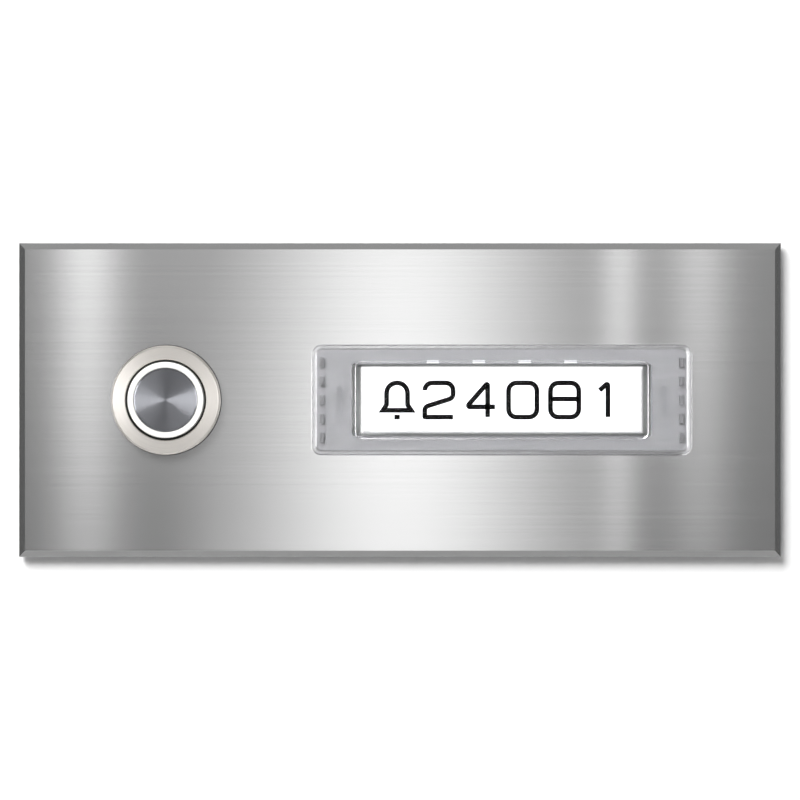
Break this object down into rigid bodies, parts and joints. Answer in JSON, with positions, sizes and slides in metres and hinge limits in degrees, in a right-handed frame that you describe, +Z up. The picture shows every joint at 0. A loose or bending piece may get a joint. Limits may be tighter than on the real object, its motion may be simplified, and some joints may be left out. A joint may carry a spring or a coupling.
{
  "type": "door intercom panel",
  "caption": "Bevelled stainless door panel with an illuminated push button and a backlit name plate under a clip-on cover.",
  "frame": {"origin": "middle of the plate's outline, on the wall plane, where the rubber seal rests", "axes": "+X to the right seen from the street, +Y into the wall, +Z up"},
  "size_m": [0.17, 0.0424, 0.07],
  "materials": {
    "brushed_plate": "fine horizontal brushing",
    "turned_head": "turned and satin polished",
    "spun_cap": "spun, with fine circular lines",
    "fixing_steel": "plain stainless fasteners",
    "spring_steel": "bright spring steel",
    "contact_brass": "tinned and plain brass",
    "ring_lens": "milky translucent, softly lit",
    "clear_cover": "satin border and polished clear window",
    "holder_plastic": "grey moulded, finely textured",
    "opal_plastic": "opal, smooth",
    "name_card": "white printed insert",
    "seal_rubber": "matte black EPDM",
    "black_plastic": "moulded black nylon",
    "circuit_board": "white solder mask",
    "led_lens": "pale yellow silicone over a white case",
    "terminal_green": "moulded green nylon",
    "connector_cream": "moulded cream nylon",
    "wire_red": "smooth PVC insulation",
    "wire_black": "smooth PVC insulation",
    "wire_white": "smooth PVC insulation",
    "wire_blue": "smooth PVC insulation"
  },
  "bodies": {
    "panel": {"backlight_board": "circuit_board", "backlight_led_1": "led_lens", "backlight_led_2": "led_lens", "backlight_led_3": "led_lens", "backlight_led_4": "led_lens", "button_housing": "turned_head", "cap_screw_left": "fixing_steel", "cap_screw_right": "fixing_steel", "card_diffuser": "opal_plastic", "clip_screw_left": "fixing_steel", "clip_screw_right": "fixing_steel", "fixed_contact_left": "contact_brass", "fixed_contact_right": "contact_brass", "front_plate": "brushed_plate", "head_seal": "seal_rubber", "holder_back_cap": "holder_plastic", "holder_clip_left": "spring_steel", "holder_clip_right": "spring_steel", "holder_seal": "seal_rubber", "lead_plug": "connector_cream", "lead_socket": "connector_cream", "lead_tie": "opal_plastic", "led_pin_bottom": "contact_brass", "led_pin_top": "contact_brass", "led_resistor": "black_plastic", "lock_washer": "fixing_steel", "name_holder": "holder_plastic", "panel_nut": "fixing_steel", "return_spring": "spring_steel", "ring_led_1": "led_lens", "ring_led_2": "led_lens", "ring_led_3": "led_lens", "ring_led_4": "led_lens", "ring_led_board": "circuit_board", "switch_frame": "black_plastic", "terminal_base": "black_plastic", "terminal_block": "terminal_green", "terminal_screw_1": "fixing_steel", "terminal_screw_2": "fixing_steel", "terminal_screw_3": "fixing_steel", "terminal_screw_4": "fixing_steel", "wall_seal": "seal_rubber", "wall_stud_1": "fixing_steel", "wall_stud_2": "fixing_steel", "wall_stud_3": "fixing_steel", "wall_stud_4": "fixing_steel", "wire_bell_left": "wire_red", "wire_bell_right": "wire_black", "wire_light_bottom": "wire_blue", "wire_light_top": "wire_white"},
    "button": {"push_cap": "spun_cap", "light_ring": "ring_lens", "plunger": "opal_plastic", "plunger_seal": "seal_rubber", "retaining_clip": "spring_steel", "contact_spring": "spring_steel"},
    "bridge": {"contact_bridge": "contact_brass"},
    "cover": {"name_cover": "clear_cover"},
    "card": {"name_card": "name_card"}
  },
  "joints": [
    {"name": "button_press", "type": "slide", "parent": "panel", "child": "button", "axis": [0, 1, 0], "range_m": [0, 0.002], "stiffness_N_per_m": 1200, "springref_m": -0.0012, "deforming": ["return_spring", "contact_spring"]},
    {"name": "contact_bridge_travel", "type": "slide", "parent": "panel", "child": "bridge", "axis": [0, 1, 0], "range_m": [0, 0.0012]},
    {"name": "name_cover_pull", "type": "slide", "parent": "panel", "child": "cover", "axis": [0, -1, 0], "range_m": [0, 0.012]},
    {"name": "name_card_lift", "type": "slide", "parent": "panel", "child": "card", "axis": [0, -1, 0], "range_m": [0, 0.006]}
  ],
  "couplings": [
    {"joint": "contact_bridge_travel", "follows": "button_press", "ratio": 0.6},
    {"joint": "name_card_lift", "follows": "name_cover_pull", "ratio": 0.5}
  ]
}
